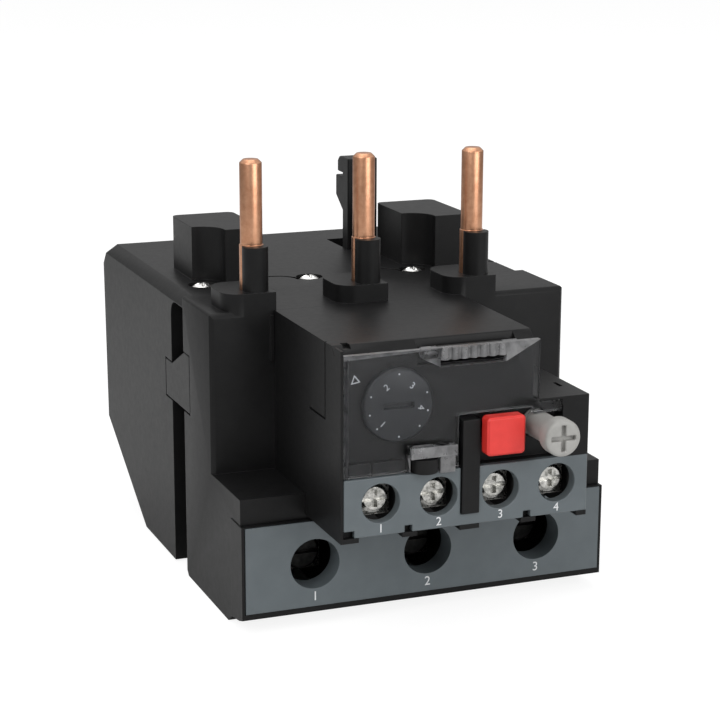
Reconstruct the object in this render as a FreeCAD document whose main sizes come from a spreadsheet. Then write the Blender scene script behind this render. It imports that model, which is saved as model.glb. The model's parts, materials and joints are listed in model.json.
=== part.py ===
"""Thermal overload relay for a three-pole contactor, as separate bodies.

Frame: X to the right, Y to the back, Z up, in millimetres.  The origin is the
mouth of the middle load terminal's screwdriver bore, on the front face of the
terminal plate.  Distances "behind" are along +Y from that face, "levels" are
along Z from that bore's axis.
"""
import FreeCAD, Part
import os
import re
import Sketcher

DOC = FreeCAD.newDocument("thermal_overload_relay")
SHEET = DOC.addObject("Spreadsheet::Sheet", "dim")

SIZES = {
    # whole body
    "body_width": 76.0,
    "top_level": 46.0,
    "floor_drop": 13.0,
    "rear_face": 101.0,
    "side_chamfer": 2.2,
    "top_wall": 2.4,
    "play": 0.1,
    # rear housing: side profile, slot and neck
    "rear_wall": 2.2,
    "rear_base_drop": 12.6,
    "rear_base_back": 69.0,
    "rear_slope_back": 100.0,
    "rear_slope_level": 5.0,
    "rear_chamfer_back": 96.5,
    "rear_chamfer_level": 41.0,
    "slot_front": 37.5,
    "slot_back": 46.0,
    "slot_radius": 3.0,
    "slot_depth": 8.0,
    "slot_depth_top": 2.6,
    "neck_wall": 1.2,
    "neck_shelf_level": 36.0,
    "neck_floor_level": 1.0,
    # contactor guide blocks on the rear housing
    "block_width": 13.6,
    "block_front": 46.5,
    "block_length": 20.5,
    "block_height": 11.2,
    "block_radius": 1.6,
    "block_side": 0.55,
    "driver_radius": 5.0,
    # front housing
    "shoulder_front": 19.0,
    "shoulder_wall": 2.2,
    "shoulder_edge": 0.4,
    "brow_drop": 0.9,
    "rib_width": 0.8,
    "rib_proud": 0.5,
    "rib_low": 36.0,
    "window_left": 7.2,
    "window_right": 2.5,
    "window_margin": 1.0,
    "ledge_level": 13.9,
    "ledge_front": 1.5,
    "chin_level": 8.8,
    "chin_front": 7.1,
    "chin_drop": 11.2,
    "foot_front": 9.7,
    "foot_back": 36.5,
    "heel_rise": 1.0,
    "chamber_width": 16.4,
    "chamber_back": 33.5,
    "chamber_level": 9.5,
    "deck_level": 11.5,
    "edge_chamfer": 0.8,
    # poles, line pins and their shields
    "pole_pitch": 23.5,
    "pin_offset": 4.35,
    "pin_behind": 23.8,
    "pin_radius": 2.2,
    "pin_root_radius": 2.4,
    "pin_top": 75.1,
    "pin_nose": 0.7,
    "tail_thickness": 2.0,
    "tail_left": 5.4,
    "tail_right": 2.5,
    "tail_back": 51.5,
    "pin_screw_offset": 3.1,
    "pin_screw_behind": 47.0,
    "pin_screw_hole": 2.8,
    "pin_screw_head": 2.3,
    "pin_screw_rise": 2.3,
    "pin_screw_shank": 1.6,
    "pin_screw_length": 5.4,
    "driver_slot": 0.9,
    "driver_slot_depth": 0.9,
    "collar_left": 7.0,
    "collar_right": 3.4,
    "collar_length": 12.5,
    "collar_height": 3.6,
    "collar_radius": 3.8,
    "shield_radius": 2.55,
    "shield_height": 12.4,
    # seam grooves in the top
    "seam_radius": 5.2,
    "seam_width": 0.8,
    "seam_depth": 0.5,
    "seam_behind": 45.0,
    "seam_run": 4.0,
    "seam_shift": 12.7,
    # contactor hook
    "hook_left": 10.8,
    "hook_width": 7.1,
    "hook_front": 72.0,
    "hook_stem": 3.4,
    "hook_height": 20.4,
    "hook_barb": 4.2,
    "hook_tip": 3.1,
    "hook_foot": 1.6,
    "hook_gap_length": 10.0,
    # side clips across the slot
    "clip_front": 33.5,
    "clip_back": 50.5,
    "clip_low": 22.4,
    "clip_high": 34.4,
    "clip_slant": 4.1,
    "clip_thickness": 1.8,
    "clip_gap": 0.25,
    # terminal frame and its grey plate
    "frame_overhang": 0.2,
    "frame_front": 0.2,
    "frame_low": 9.8,
    "plate_half_width": 37.5,
    "plate_half_height": 8.6,
    "plate_thickness": 1.2,
    "plate_notch_right": 22.9,
    "plate_notch_level": 6.0,
    "plate_notch_radius": 2.4,
    "bore_radius": 5.0,
    "bore_length": 5.0,
    "bore_wall": 1.0,
    # load terminals
    "load_screw_radius": 2.5,
    "load_screw_head": 3.7,
    "load_head_front": 7.6,
    "load_head_thickness": 3.0,
    "load_bar_front": 20.0,
    "load_bar_thickness": 1.6,
    "load_bar_half": 4.0,
    "load_bar_drop": 6.8,
    "load_bar_back": 58.0,
    "cage_half_width": 6.4,
    "cage_half_height": 6.2,
    "cage_front": 15.2,
    "cage_length": 15.6,
    "cage_wall": 1.8,
    # bimetals, heaters and their carrier
    "bimetal_behind": 66.0,
    "bimetal_width": 7.0,
    "bimetal_thickness": 1.0,
    "bimetal_top": 40.6,
    "carrier_low": 0.0,
    "carrier_height": 8.0,
    "carrier_depth": 14.0,
    "heater_turns": 5,
    "heater_pitch": 4.4,
    "heater_turn_height": 2.2,
    "heater_ribbon": 0.8,
    "heater_gap": 0.5,
    # slides
    "slide_level": 36.6,
    "slide_thickness": 1.2,
    "slide_gap": 0.4,
    "slide_back": 6.5,
    "slide_front": 3.4,
    "slide_finger": 6.0,
    "slide_travel": 2.5,
    "slide_play": 0.3,
    # trip lever, compensating strip and rocker
    "lever_x": 11.0,
    "lever_behind": 34.0,
    "lever_radius": 1.5,
    "lever_thickness": 2.4,
    "lever_level": 29.0,
    "lever_height": 5.0,
    "lever_front": 13.0,
    "rocker_x": 3.0,
    "rocker_behind": 10.8,
    "rocker_radius": 1.5,
    "rocker_reach": 6.3,
    "rocker_nose": 6.7,
    "rocker_arm": 1.8,
    "rocker_height": 3.0,
    # control housing
    "control_left": 24.9,
    "side_lip": 0.5,
    "control_right": 25.3,
    "tower_right": 14.9,
    "control_low": 9.6,
    "control_front": 17.4,
    "front_wall_front": 14.2,
    "control_wall": 1.8,
    "step_level": 33.5,
    "control_plate_low": 10.5,
    "control_plate_high": 21.7,
    "control_plate_thickness": 1.4,
    "plate_corner": 2.2,
    "plate_corner_height": 1.4,
    "strip_left": 0.9,
    "strip_right": 2.6,
    "strip_low": 12.8,
    "strip_high": 30.9,
    "strip_proud": 0.5,
    "button_bay_right": 19.8,
    "button_bay_high": 31.8,
    "tongue_back": 9.5,
    "tongue_length": 8.8,
    "tongue_low": 31.3,
    "tongue_groove": 0.4,
    "post_x": -8.4,
    "post_radius": 2.5,
    "post_low": 21.9,
    "post_height": 2.7,
    # control terminals
    "terminal_level": 16.7,
    "terminal_1": -17.0,
    "terminal_2": -5.4,
    "terminal_3": 7.2,
    "terminal_4": 18.9,
    "well_radius": 3.75,
    "well_length": 2.3,
    "well_wall": 0.5,
    "cell_half": 4.3,
    "cell_back": 3.5,
    "head_radius": 2.8,
    "head_thickness": 2.2,
    "head_recess": 3.0,
    "shank_radius": 1.75,
    "shank_length": 6.6,
    "washer_half": 3.7,
    "washer_thickness": 1.2,
    "washer_gap": 0.4,
    "strip_thickness": 0.8,
    "strip_half": 3.4,
    "strip_neck": 1.6,
    # auxiliary contacts
    "contact_level": 26.0,
    "contact_tip": 1.1,
    "contact_tip_height": 0.7,
    "nc_leg_behind": 0.0,
    "contact_travel": 1.6,
    "contact_gap": 0.1,
    "bridge_thickness": 0.8,
    "bridge_half_height": 1.5,
    "bridge_overlap": 1.8,
    "carrier_bar_low": 28.6,
    "carrier_bar_height": 2.4,
    "carrier_bar_depth": 3.4,
    "carrier_finger": 3.0,
    # setting dial
    "dial_x": -13.0,
    "dial_level": 34.5,
    "dial_radius": 7.0,
    "dial_thickness": 1.6,
    "dial_chamfer": 0.4,
    "dial_shaft": 2.4,
    "dial_shaft_length": 6.0,
    "cam_radius": 3.4,
    "cam_throw": 0.8,
    "cam_thickness": 2.6,
    "dial_slot": 1.0,
    # clear cover
    "cover_thickness": 1.2,
    "cover_top": 45.0,
    "cover_low": 22.0,
    "cover_step_level": 32.0,
    "cover_step_x": -1.5,
    "cover_right": 14.8,
    "cover_rim": 1.2,
    "hinge_behind": 15.1,
    "hinge_level": 43.9,
    "hinge_pin": 0.5,
    "knuckle_left": 8.4,
    "knuckle_right": 10.9,
    "knuckle_end": 3.0,
    "knuckle_radius": 1.0,
    "grip_ribs": 7,
    "grip_rib_radius": 0.75,
    "brow_chamfer": 1.6,
    "notch_left": 2.1,
    "notch_width": 1.4,
    "notch_length": 3.0,
    "notch_depth": 0.8,
    "step_notch_behind": -10.4,
    "grip_proud": 0.2,
    "slot_window_low": 41.4,
    "slot_window_height": 1.3,
    "arm_right": 19.5,
    "arm_low": 30.8,
    "arm_height": 2.1,
    "lug_left": 11.8,
    "lug_right": 2.6,
    "lug_low": 21.5,
    "lug_band_low": 24.9,
    "lug_band_high": 27.0,
    "lug_proud": 1.9,
    "lug_wall": 1.0,
    # buttons
    "stop_x": 7.0,
    "stop_level": 27.8,
    "stop_width": 7.8,
    "stop_height": 7.4,
    "stop_proud": 2.7,
    "stop_corner": 0.8,
    "stop_travel": 2.5,
    "stem_radius": 1.5,
    "button_hole_play": 0.15,
    "reset_x": 15.5,
    "reset_level": 28.1,
    "reset_front": 26.5,
    "reset_shaft": 2.65,
    "reset_head": 3.55,
    "reset_head_length": 3.2,
    "reset_cross": 0.9,
    "reset_cross_depth": 1.0,
    "reset_pivot": 1.3,
    "test_left": -18.3,
    "test_right": -11.9,
    "test_low": 22.0,
    "test_height": 2.2,
    "test_proud": 1.7,
    "test_travel": 0.9,
    "spring_wire": 0.5,
    "spring_space": 0.25,
    "spring_gap": 0.05,
    "spring_seat_behind": -5.5,
    "spring_seat_wall": 1.2,
    "spring_seat_side": 3.4,
    "flange_step": 0.9,
    "flange_thickness": 1.0,
    "stem_end": -8.4,
    "spring_turns": 4,
}

# Places that follow from the sizes, as text that is bound wherever it is used.
PLACES = {
    "half_width": "(body_width / 2)",
    "top_under": "(top_level - top_wall)",
    "neck_half": "(half_width - slot_depth)",
    "neck_top_half": "(half_width - slot_depth_top)",
    "neck_bore": "(neck_half - neck_wall)",
    "neck_top_bore": "(neck_top_half - neck_wall)",
    "inner_half": "(half_width - rear_wall)",
    "front_cavity": "(shoulder_front + shoulder_wall)",
    "tail_high": "(top_under - 0.6)",
    "tail_low": "(tail_high - tail_thickness)",
    "tab_low": "(tail_low - tail_thickness)",
    "collar_top": "(top_level + collar_height)",
    "bar_high": "(deck_level + play + load_bar_thickness)",
    "bar_behind": "(load_bar_front + load_bar_thickness)",
    "carrier_high": "(carrier_low + carrier_height)",
    "heater_half_x": "(bimetal_thickness / 2 + heater_gap + heater_ribbon)",
    "heater_half_y": "(bimetal_width / 2 + heater_gap + heater_ribbon)",
    "heater_low": "(bar_high + 2 * heater_ribbon)",
    "heater_high": "(heater_low + (heater_turns - 1) * heater_pitch + heater_turn_height)",
    "slide_2_level": "(slide_level + slide_thickness + slide_gap)",
    "front_wall_back": "(front_wall_front - control_wall)",
    "inner_left": "(control_left - control_wall)",
    "inner_right": "(control_right - control_wall)",
    "tower_inner": "(tower_right - control_wall)",
    "cell_high": "(terminal_level + cell_half)",
    "inner_floor": "(cell_high + 1.0)",
    "head_front": "(control_front - head_recess)",
    "head_back": "(head_front - head_thickness)",
    "washer_back": "(head_back - washer_thickness)",
    "contact_plate": "(washer_back - washer_gap)",
    "contact_plate_back": "(contact_plate - strip_thickness)",
    "nc_tip_behind": "(nc_leg_behind + strip_thickness + contact_tip_height)",
    "nc_bridge_behind": "(nc_tip_behind + contact_gap)",
    "no_bridge_behind": "nc_bridge_behind",
    "no_tip_front": "(no_bridge_behind + bridge_thickness + contact_travel + contact_gap)",
    "no_leg_behind": "(no_tip_front + contact_tip_height)",
    "carrier_behind": "(nc_bridge_behind + bridge_thickness)",
    "carrier_bar_high": "(carrier_bar_low + carrier_bar_height)",
    "rocker_low": "(carrier_bar_high + 0.4)",
    "strip_face": "(lever_x - lever_thickness / 2 - 0.8)",
    "cover_inner": "(control_front - cover_thickness)",
    "dial_front": "(front_wall_front + dial_thickness)",
    "reset_hole": "(reset_shaft + button_hole_play)",
}

AXES = {
    "x": FreeCAD.Rotation(FreeCAD.Vector(0, 1, 0), 90),
    "y": FreeCAD.Rotation(FreeCAD.Vector(1, 0, 0), -90),
    "z": FreeCAD.Rotation(),
}
POLES = (-1, 0, 1)
TERMINALS = (1, 2, 3, 4)
NODES = []


# ---------------------------------------------------------------- bound shapes

def fill_sheet():
    for row, (name, size) in enumerate(SIZES.items(), start=1):
        SHEET.set(f"A{row}", name)
        SHEET.set(f"B{row}", str(size))
        SHEET.setAlias(f"B{row}", name)
    DOC.recompute()


def bound(text):
    """The expression for the sheet: places are spelled out, sizes get the sheet's name."""
    word = re.compile(r"[a-z_][a-z_0-9]*")
    while any(name in PLACES for name in word.findall(text)):
        text = word.sub(lambda found: PLACES.get(found.group(), found.group()), text)
    return word.sub(lambda found: "dim." + found.group(), text)


def value(text):
    return float(SHEET.evalExpression(bound(text)))


def tie(item, settings):
    for name, text in settings.items():
        item.setExpression(name, bound(text))
    return item


def seat(item, x="0", y="0", z="0"):
    return tie(item, {"Placement.Base.x": x, "Placement.Base.y": y, "Placement.Base.z": z})


def slab(label, x, y, z):
    """A box between two bound limits on each axis."""
    item = DOC.addObject("Part::Box", label)
    (x0, x1), (y0, y1), (z0, z1) = x, y, z
    tie(item, {"Length": f"({x1}) - ({x0})", "Width": f"({y1}) - ({y0})",
               "Height": f"({z1}) - ({z0})"})
    return seat(item, x0, y0, z0)


def rod(label, axis, centre, radius, span):
    """A cylinder along an axis; centre gives the other two coordinates in X, Y, Z order."""
    item = DOC.addObject("Part::Cylinder", label)
    item.Placement = FreeCAD.Placement(FreeCAD.Vector(), AXES[axis])
    low, high = span
    tie(item, {"Radius": radius, "Height": f"({high}) - ({low})"})
    spot = list(centre)
    spot.insert("xyz".index(axis), low)
    return seat(item, *spot)


def join(label, pieces):
    item = DOC.addObject("Part::MultiFuse", label)
    item.Shapes = pieces
    item.Refine = True
    return item


def carve(label, base, tools):
    item = DOC.addObject("Part::Cut", label)
    item.Base = base
    item.Tool = tools[0] if len(tools) == 1 else join(label + "_tools", tools)
    item.Refine = True
    return item


def outline(body, label, plane, points, start):
    """A closed sketch whose corners are bound; it lies on the body's own origin plane."""
    sketch = body.newObject("Sketcher::SketchObject", label)
    origin = next(item for item in body.Origin.OriginFeatures if item.Role == plane)
    sketch.AttachmentSupport = [(origin, "")]
    sketch.MapMode = "FlatFace"
    tie(sketch, {"AttachmentOffset.Base.z": start})
    corners = [FreeCAD.Vector(value(u), value(v), 0) for u, v in points]
    sides = [Part.LineSegment(a, b) for a, b in zip(corners, corners[1:] + corners[:1])]
    sketch.addGeometry(sides)
    count = len(sides)
    rules = [Sketcher.Constraint("Coincident", n, 2, (n + 1) % count, 1) for n in range(count)]
    for n, corner in enumerate(corners):
        rules.append(Sketcher.Constraint("DistanceX", -1, 1, n, 1, corner.x))
        rules.append(Sketcher.Constraint("DistanceY", -1, 1, n, 1, corner.y))
    sketch.addConstraint(rules)
    for n, (u, v) in enumerate(points):
        sketch.setExpression(f"Constraints[{count + 2 * n}]", bound(u))
        sketch.setExpression(f"Constraints[{count + 2 * n + 1}]", bound(v))
    return sketch


def padded(label, plane, points, span):
    """A body padded from an outline between two bound limits along the plane's axis."""
    body = DOC.addObject("PartDesign::Body", label)
    low, high = span
    start = f"-({high})" if plane == "XZ_Plane" else low
    sketch = outline(body, label + "_outline", plane, points, start)
    pad = body.newObject("PartDesign::Pad", label + "_pad")
    pad.Profile = sketch
    tie(pad, {"Length": f"({high}) - ({low})"})
    sketch.Visibility = False
    DOC.recompute()
    return body


def turned(label, points):
    """A body revolved about its Z axis from (radius, height) corners."""
    body = DOC.addObject("PartDesign::Body", label)
    sketch = outline(body, label + "_outline", "XZ_Plane", points, "0")
    turn = body.newObject("PartDesign::Revolution", label + "_turn")
    turn.Profile = sketch
    turn.ReferenceAxis = (sketch, ["V_Axis"])
    turn.Angle = 360
    DOC.recompute()
    return body


def ease(body, kind, size, along, wanted):
    """A fillet or chamfer on the body's straight edges along an axis whose ends pass the test."""
    tip = body.Tip
    names = []
    for n, edge in enumerate(tip.Shape.Edges, start=1):
        ends = [vertex.Point for vertex in edge.Vertexes]
        if len(ends) != 2 or not all(wanted(end) for end in ends):
            continue
        if abs(getattr(ends[1] - ends[0], along)) > 0.999 * edge.Length:
            names.append(f"Edge{n}")
    feature = body.newObject("PartDesign::" + kind, body.Label + "_" + kind.lower())
    feature.Base = (tip, names)
    tie(feature, {"Radius" if kind == "Fillet" else "Size": size})
    DOC.recompute()
    return body


def near(number, text):
    return abs(number - value(text)) < 0.01


def node(item, label):
    item.Label = label
    NODES.append(item)
    return item


def group(label, items):
    item = DOC.addObject("Part::Compound", label)
    item.Links = items
    return item


def pole_x(k):
    return f"({k} * pole_pitch)"


def pin_x(k):
    return f"({k} * pole_pitch - pin_offset)"


def screw_x(k):
    return f"({k} * pole_pitch - pin_offset - pin_screw_offset)"


# ------------------------------------------------------------------- housings

def guide_block(k):
    """A block that locates the contactor, cut back for the screwdriver beside it."""
    left = f"{screw_x(k)} - block_side"
    name = f"guide_block_{k + 2}"
    corners = [(left, "block_front"), (f"{left} + block_width", "block_front"),
               (f"{left} + block_width", "block_front + block_length"),
               (left, "block_front + block_length")]
    body = padded(name, "XY_Plane", corners, ("top_under", "top_level + block_height"))
    ease(body, "Fillet", "block_radius", "z",
         lambda p: near(p.y, "block_front + block_length"))
    return body


def rear_housing():
    corners = [("slot_front", "top_level"), ("slot_front", "top_under"),
               ("slot_back", "top_under"), ("slot_back", "-rear_base_drop"),
               ("rear_base_back", "-rear_base_drop"), ("rear_slope_back", "rear_slope_level"),
               ("rear_face", "rear_chamfer_level"), ("rear_chamfer_back", "top_level")]
    shell = padded("rear_shell", "YZ_Plane", corners, ("-half_width", "half_width"))
    ease(shell, "Fillet", "slot_radius", "x",
         lambda p: near(p.y, "slot_back") and near(p.z, "top_under"))
    ease(shell, "Chamfer", "side_chamfer", "y",
         lambda p: near(p.z, "top_level") and near(abs(p.x), "half_width"))
    necks = [slab("neck_low", ("-neck_half", "neck_half"), ("slot_front", "slot_back + rear_wall"),
                  ("neck_floor_level", "top_under")),
             slab("neck_high", ("-neck_top_half", "neck_top_half"),
                  ("slot_front", "slot_back + rear_wall"), ("neck_shelf_level", "top_under"))]
    solid = join("rear_solid", [shell, guide_block(-1), guide_block(1)] + necks)
    hollow = [("slot_back + rear_wall", "top_under"),
              ("slot_back + rear_wall", "rear_wall - rear_base_drop"),
              ("rear_base_back - rear_wall / 4", "rear_wall - rear_base_drop"),
              ("rear_slope_back - rear_wall", "rear_slope_level + rear_wall / 2"),
              ("rear_face - rear_wall", "rear_chamfer_level - rear_wall / 2"),
              ("rear_chamfer_back - rear_wall / 2", "top_under")]
    tools = [padded("rear_hollow", "YZ_Plane", hollow, ("-inner_half", "inner_half"))]
    tools.append(slab("neck_low_bore", ("-neck_bore", "neck_bore"),
                      ("slot_front", "slot_back + 2 * rear_wall"),
                      ("neck_floor_level + neck_wall", "top_under")))
    tools.append(slab("neck_high_bore", ("-neck_top_bore", "neck_top_bore"),
                      ("slot_front", "slot_back + 2 * rear_wall"),
                      ("neck_shelf_level + neck_wall", "top_under")))
    for k in POLES:
        tools.append(rod(f"pin_screw_hole_{k + 2}", "z", (screw_x(k), "pin_screw_behind"),
                         "pin_screw_hole", ("top_under - 1", "top_level + 1")))
    for k in (-1, 1):
        tools.append(rod(f"driver_way_{k + 2}", "z", (screw_x(k), "pin_screw_behind"),
                         "driver_radius", ("top_level", "top_level + 2 * block_height")))
    tools.append(slab("hook_socket", ("hook_left", "hook_left + hook_width"),
                      ("hook_front", "hook_front + hook_stem + hook_gap_length"),
                      ("top_under - 1", "top_level + 1")))
    tools += [clip_recess(side, "rear") for side in (-1, 1)]
    tools += [seam_groove(k) for k in POLES]
    return node(carve("rear_housing", solid, tools), "rear_housing")


def seam_groove(k):
    """A shallow quarter ring with a straight run, where the pole's lid meets the top."""
    centre = (f"{pin_x(k)} + seam_shift", "seam_behind")
    floor = ("top_level - seam_depth", "top_level + seam_depth")
    ring = carve(f"seam_ring_{k + 2}",
                 rod(f"seam_outer_{k + 2}", "z", centre, "seam_radius", floor),
                 [rod(f"seam_inner_{k + 2}", "z", centre, "seam_radius - seam_width", floor)])
    keep = slab(f"seam_corner_{k + 2}", (centre[0], f"{centre[0]} + seam_radius"),
                (centre[1], f"{centre[1]} + seam_radius"), floor)
    arc = DOC.addObject("Part::Common", f"seam_arc_{k + 2}")
    arc.Base = ring
    arc.Tool = keep
    run = slab(f"seam_run_{k + 2}", (f"{centre[0]} - seam_run", centre[0]),
               (f"{centre[1]} + seam_radius - seam_width", f"{centre[1]} + seam_radius"), floor)
    return join(f"seam_{k + 2}", [arc, run])


def clip_corners(grow):
    """The clip's outline in Y and Z: its upper end is cut on a slant."""
    return [(f"clip_front - {grow}", f"clip_low - {grow}"),
            (f"clip_back + {grow}", f"clip_low - {grow}"),
            (f"clip_back + {grow}", f"clip_high - clip_slant + {grow}"),
            ("slot_back", f"clip_high - clip_slant + {grow}"),
            ("slot_front", f"clip_high + {grow}"),
            (f"clip_front - {grow}", f"clip_high + {grow}")]


def clip_span(side, depth):
    if side < 0:
        return ("-half_width", f"{depth} - half_width")
    return (f"half_width - {depth}", "half_width")


def clip_recess(side, place):
    name = f"clip_recess_{place}_{side + 2}"
    return padded(name, "YZ_Plane", clip_corners("clip_gap"),
                  clip_span(side, "clip_thickness"))


def side_clip(side, label):
    return node(padded(label, "YZ_Plane", clip_corners("0"),
                       clip_span(side, "clip_thickness")), label)


def collar(k):
    """The raised lid of a line pin with the shield that stands in front of the pin."""
    left = f"{pin_x(k)} - collar_left"
    right = f"{pin_x(k)} + collar_right"
    back = "shoulder_front + collar_length"
    corners = [(left, "shoulder_front"), (right, "shoulder_front"), (right, back), (left, back)]
    body = padded(f"collar_{k + 2}", "XY_Plane", corners, ("top_under", "collar_top"))
    ease(body, "Fillet", "collar_radius", "z",
         lambda p: near(p.x, left) or near(p.y, back))
    shield = rod(f"shield_{k + 2}", "z",
                 (pin_x(k), "shoulder_front + shield_radius"),
                 "shield_radius", ("top_under", "top_level + shield_height"))
    return [body, shield]


def shoulder_brow(side, left, right):
    """The bevel along the top front edge of a shoulder."""
    return padded(f"shoulder_brow_{side}", "YZ_Plane",
                  [("shoulder_front", "top_level"), ("shoulder_front", "top_level - brow_drop"),
                   ("shoulder_front + brow_drop", "top_level")], (left, right))


def front_housing():
    corners = [("slot_front", "top_level"), ("shoulder_front", "top_level"),
               ("shoulder_front", "ledge_level"), ("ledge_front", "ledge_level"),
               ("ledge_front", "chin_level"), ("chin_front", "chin_level"),
               ("chin_front", "-chin_drop"), ("foot_front", "-floor_drop"),
               ("foot_back", "-floor_drop"), ("slot_front", "heel_rise - floor_drop")]
    shell = padded("front_shell", "YZ_Plane", corners, ("-half_width", "half_width"))
    ease(shell, "Chamfer", "edge_chamfer", "z",
         lambda p: near(p.y, "shoulder_front") and near(abs(p.x), "half_width"))
    ease(shell, "Chamfer", "shoulder_edge", "y",
         lambda p: near(p.z, "top_level") and near(abs(p.x), "half_width"))
    blank = carve("front_blank", shell, [shoulder_brow("left", "-half_width", "-control_left"),
                                         shoulder_brow("right", "tower_right", "half_width")])
    rib = slab("shoulder_rib", ("-control_left - play - rib_width", "-control_left - play"),
               ("shoulder_front - rib_proud", "shoulder_front"), ("rib_low", "top_level - brow_drop"))
    solid = join("front_solid", [blank, rib] + [part for k in POLES for part in collar(k)])
    tools = [slab("front_hollow", ("-neck_top_bore", "neck_top_bore"),
                  ("front_cavity", "slot_front"), ("deck_level", "top_under"))]
    for k in POLES:
        tools.append(slab(f"chamber_{k + 2}",
                          (f"{pole_x(k)} - chamber_width / 2", f"{pole_x(k)} + chamber_width / 2"),
                          ("chin_front", "chamber_back"), ("-floor_drop", "chamber_level")))
        tools.append(slab(f"bar_slot_{k + 2}",
                          (f"{pole_x(k)} - load_bar_half - play",
                           f"{pole_x(k)} + load_bar_half + play"),
                          ("load_bar_front - play", "bar_behind + play"),
                          ("chamber_level", "bar_high")))
        tools.append(rod(f"pin_bore_{k + 2}", "z", (pin_x(k), "pin_behind"),
                         "pin_root_radius + play", ("tail_low - play", "top_level + shield_height")))
    tools.append(slab("lever_window", ("lever_x - window_left", "lever_x + window_right"),
                      ("shoulder_front", "front_cavity"),
                      ("lever_level - window_margin", "lever_level + lever_height + window_margin")))
    tools += [clip_recess(side, "front") for side in (-1, 1)]
    return node(carve("front_housing", solid, tools), "front_housing")


def contactor_hook():
    """The hook behind the middle pin: two barbs that face back, on a flexing stem."""
    stem_back = "hook_front + hook_stem"
    tip = "top_level + hook_height"
    corners = [("hook_front", "top_under - hook_foot"), (stem_back + " + hook_foot", "top_under - hook_foot"),
               (stem_back + " + hook_foot", "top_under"), (stem_back, "top_under"),
               (stem_back, f"{tip} - 12"), (f"{stem_back} + hook_barb", f"{tip} - 9"),
               (f"{stem_back} + hook_barb", f"{tip} - 4.4"), (stem_back, f"{tip} - 4.4"),
               (stem_back, f"{tip} - 3.5"), (f"{stem_back} + hook_tip", f"{tip} - 3.5"),
               (f"{stem_back} + hook_tip", f"{tip} - 1"), (f"{stem_back} + hook_tip - 1", tip),
               ("hook_front", tip)]
    return node(padded("contactor_hook", "YZ_Plane", corners,
                       ("hook_left + play / 2", "hook_left + hook_width - play / 2")),
                "contactor_hook")


# --------------------------------------------------------------- current path

def line_pin(k):
    pin = turned(f"pin_rod_{k + 2}",
                 [("0", "tail_low"), ("pin_root_radius", "tail_low"),
                  ("pin_root_radius", "top_level + shield_height"),
                  ("pin_radius", "top_level + shield_height"), ("pin_radius", "pin_top - pin_nose"),
                  ("pin_radius - pin_nose", "pin_top"), ("0", "pin_top")])
    seat(pin, pin_x(k), "pin_behind", "0")
    tail = slab(f"pin_tail_{k + 2}", (f"{pin_x(k)} - tail_left", f"{pin_x(k)} + tail_right"),
                ("pin_behind", "tail_back"), ("tail_low", "tail_high"))
    hole = rod(f"pin_tail_hole_{k + 2}", "z", (screw_x(k), "pin_screw_behind"),
               "pin_screw_shank + play", ("tail_low", "tail_high"))
    name = f"line_pin_{k + 2}"
    return node(carve(name, join(name + "_solid", [pin, tail]), [hole]), name)


def pin_screws():
    """Screws that clamp each pin's tail on its heater, seen in the top's holes."""
    screws = []
    for k in POLES:
        name = f"pin_screw_{k + 2}"
        seatz = "tail_high"
        head = turned(name + "_body",
                      [("0", f"{seatz} - pin_screw_length"), ("pin_screw_shank", f"{seatz} - pin_screw_length"),
                       ("pin_screw_shank", seatz), ("pin_screw_head", seatz),
                       ("pin_screw_head", f"{seatz} + pin_screw_rise - 0.4"),
                       ("pin_screw_head - 0.4", f"{seatz} + pin_screw_rise"),
                       ("0", f"{seatz} + pin_screw_rise")])
        seat(head, screw_x(k), "pin_screw_behind", "0")
        slot = slab(name + "_slot", (f"{screw_x(k)} - pin_screw_head", f"{screw_x(k)} + pin_screw_head"),
                    ("pin_screw_behind - driver_slot / 2", "pin_screw_behind + driver_slot / 2"),
                    (f"{seatz} + pin_screw_rise - driver_slot_depth", f"{seatz} + pin_screw_rise"))
        screws.append(carve(name, head, [slot]))
    return node(group("pin_screws", screws), "pin_screws")


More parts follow.
